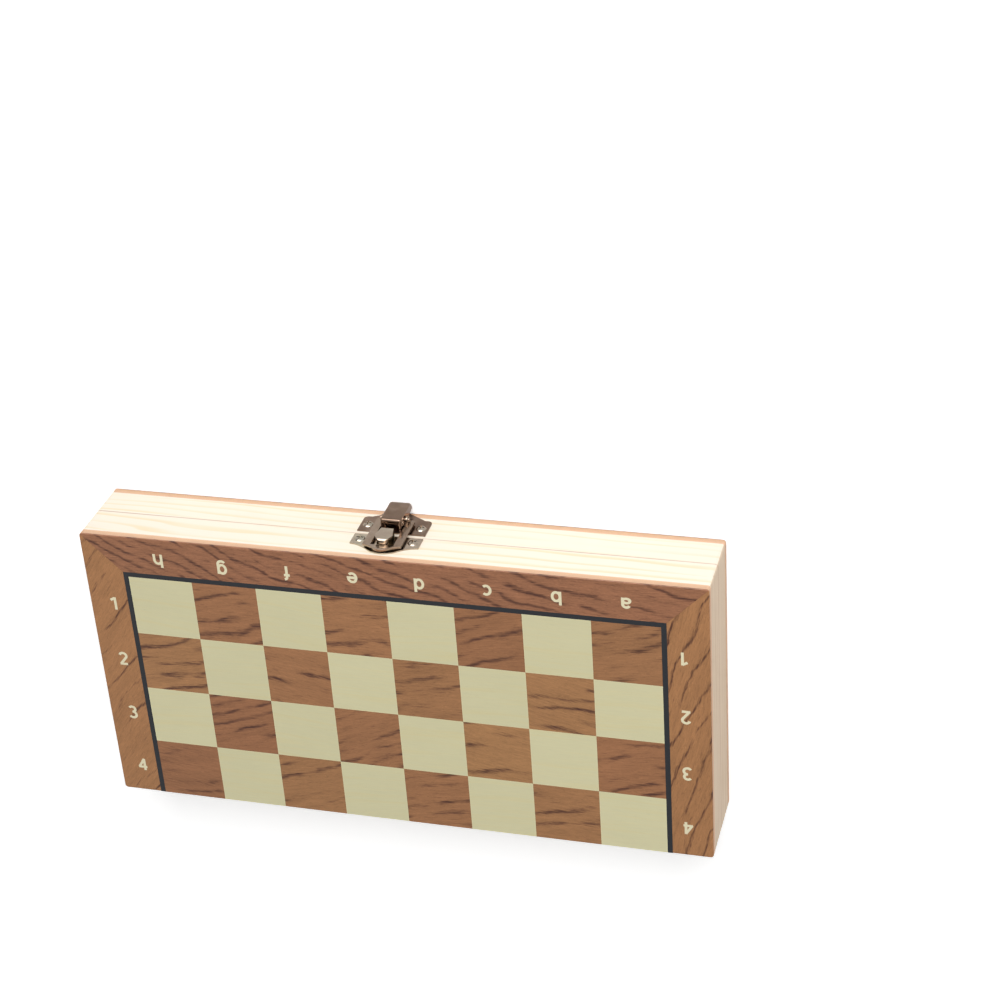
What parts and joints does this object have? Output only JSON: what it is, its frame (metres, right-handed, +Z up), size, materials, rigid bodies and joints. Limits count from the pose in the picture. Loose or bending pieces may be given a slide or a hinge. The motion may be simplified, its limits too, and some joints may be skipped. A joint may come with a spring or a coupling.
{
  "type": "magnetic folding chess set",
  "caption": "Folding wooden chess set: two hinged half cases whose backs form a magnetic board, with a draw latch, foam trays and turned magnetic chess pieces inside.",
  "frame": {"origin": "centre of the closed box's lower board face, on the surface it lies on", "axes": "+Z up through the closed box, +X along the fold towards the h file, -Y the latch side, +Y the hinge side"},
  "size_m": [0.24, 0.1272, 0.034],
  "materials": {
    "pine": "clear satin varnish on pine",
    "plywood": "cut edge of birch plywood",
    "border_veneer": "satin varnished dark open-grained veneer",
    "black_line": "black dyed stringing",
    "dark_veneer": "satin varnished walnut-coloured veneer",
    "light_veneer": "satin varnished pale olive veneer",
    "steel_sheet": "plain thin sheet",
    "foam": "dense black foam",
    "nickel": "nickel plated steel",
    "light_pieces": "varnished pale turned wood",
    "dark_pieces": "varnished dark brown turned wood",
    "magnet": "plated disc magnet",
    "felt": "green felt"
  },
  "bodies": {
    "lower_half": {"lower_latch_rail": "pine", "lower_hinge_rail": "pine", "lower_left_rail": "pine", "lower_right_rail": "pine", "lower_board_core": "plywood", "lower_steel_sheet": "steel_sheet", "lower_border_veneer": "border_veneer", "lower_ring_line": "black_line", "lower_dark_squares": "dark_veneer", "lower_light_squares": "light_veneer", "lower_foam_tray": "foam", "hinge_screws_lower": "nickel", "left_hinge_lower_leaf": "nickel", "right_hinge_lower_leaf": "nickel", "light_king": "light_pieces", "light_queen": "light_pieces", "light_bishops": "light_pieces", "light_knights": "light_pieces", "light_rooks": "light_pieces", "light_pawns": "light_pieces", "light_piece_magnets": "magnet", "light_piece_felts": "felt", "left_hinge_pin": "nickel", "right_hinge_pin": "nickel", "latch_lever_plate": "nickel", "latch_screws_lower": "nickel"},
    "upper_half": {"upper_latch_rail": "pine", "upper_hinge_rail": "pine", "upper_left_rail": "pine", "upper_right_rail": "pine", "upper_board_core": "plywood", "upper_steel_sheet": "steel_sheet", "upper_border_veneer": "border_veneer", "upper_ring_line": "black_line", "upper_dark_squares": "dark_veneer", "upper_light_squares": "light_veneer", "upper_foam_tray": "foam", "hinge_screws_upper": "nickel", "left_hinge_upper_leaf": "nickel", "right_hinge_upper_leaf": "nickel", "dark_king": "dark_pieces", "dark_queen": "dark_pieces", "dark_bishops": "dark_pieces", "dark_knights": "dark_pieces", "dark_rooks": "dark_pieces", "dark_pawns": "dark_pieces", "dark_piece_magnets": "magnet", "dark_piece_felts": "felt", "latch_hook_plate": "nickel", "latch_screws_upper": "nickel"},
    "latch_lever": {"latch_lever": "nickel", "latch_lever_rivet": "nickel", "latch_loop_rivets": "nickel"},
    "latch_loop": {"latch_loop": "nickel"}
  },
  "joints": [
    {"name": "fold", "type": "hinge", "parent": "lower_half", "child": "upper_half", "pos_m": [0, 0.06, 0.017], "axis": [-1, 0, 0], "range_deg": [0, 180]},
    {"name": "lever_flip", "type": "hinge", "parent": "lower_half", "child": "latch_lever", "pos_m": [0.0023, -0.0635, 0.0131], "axis": [-1, 0, 0], "range_deg": [0, 95]},
    {"name": "loop_link", "type": "hinge", "parent": "latch_lever", "child": "latch_loop", "pos_m": [0.0023, -0.063, 0.00954], "axis": [-1, 0, 0], "range_deg": [-81, 0]}
  ],
  "couplings": [
    {"joint": "loop_link", "follows": "lever_flip", "ratio": -0.85}
  ]
}
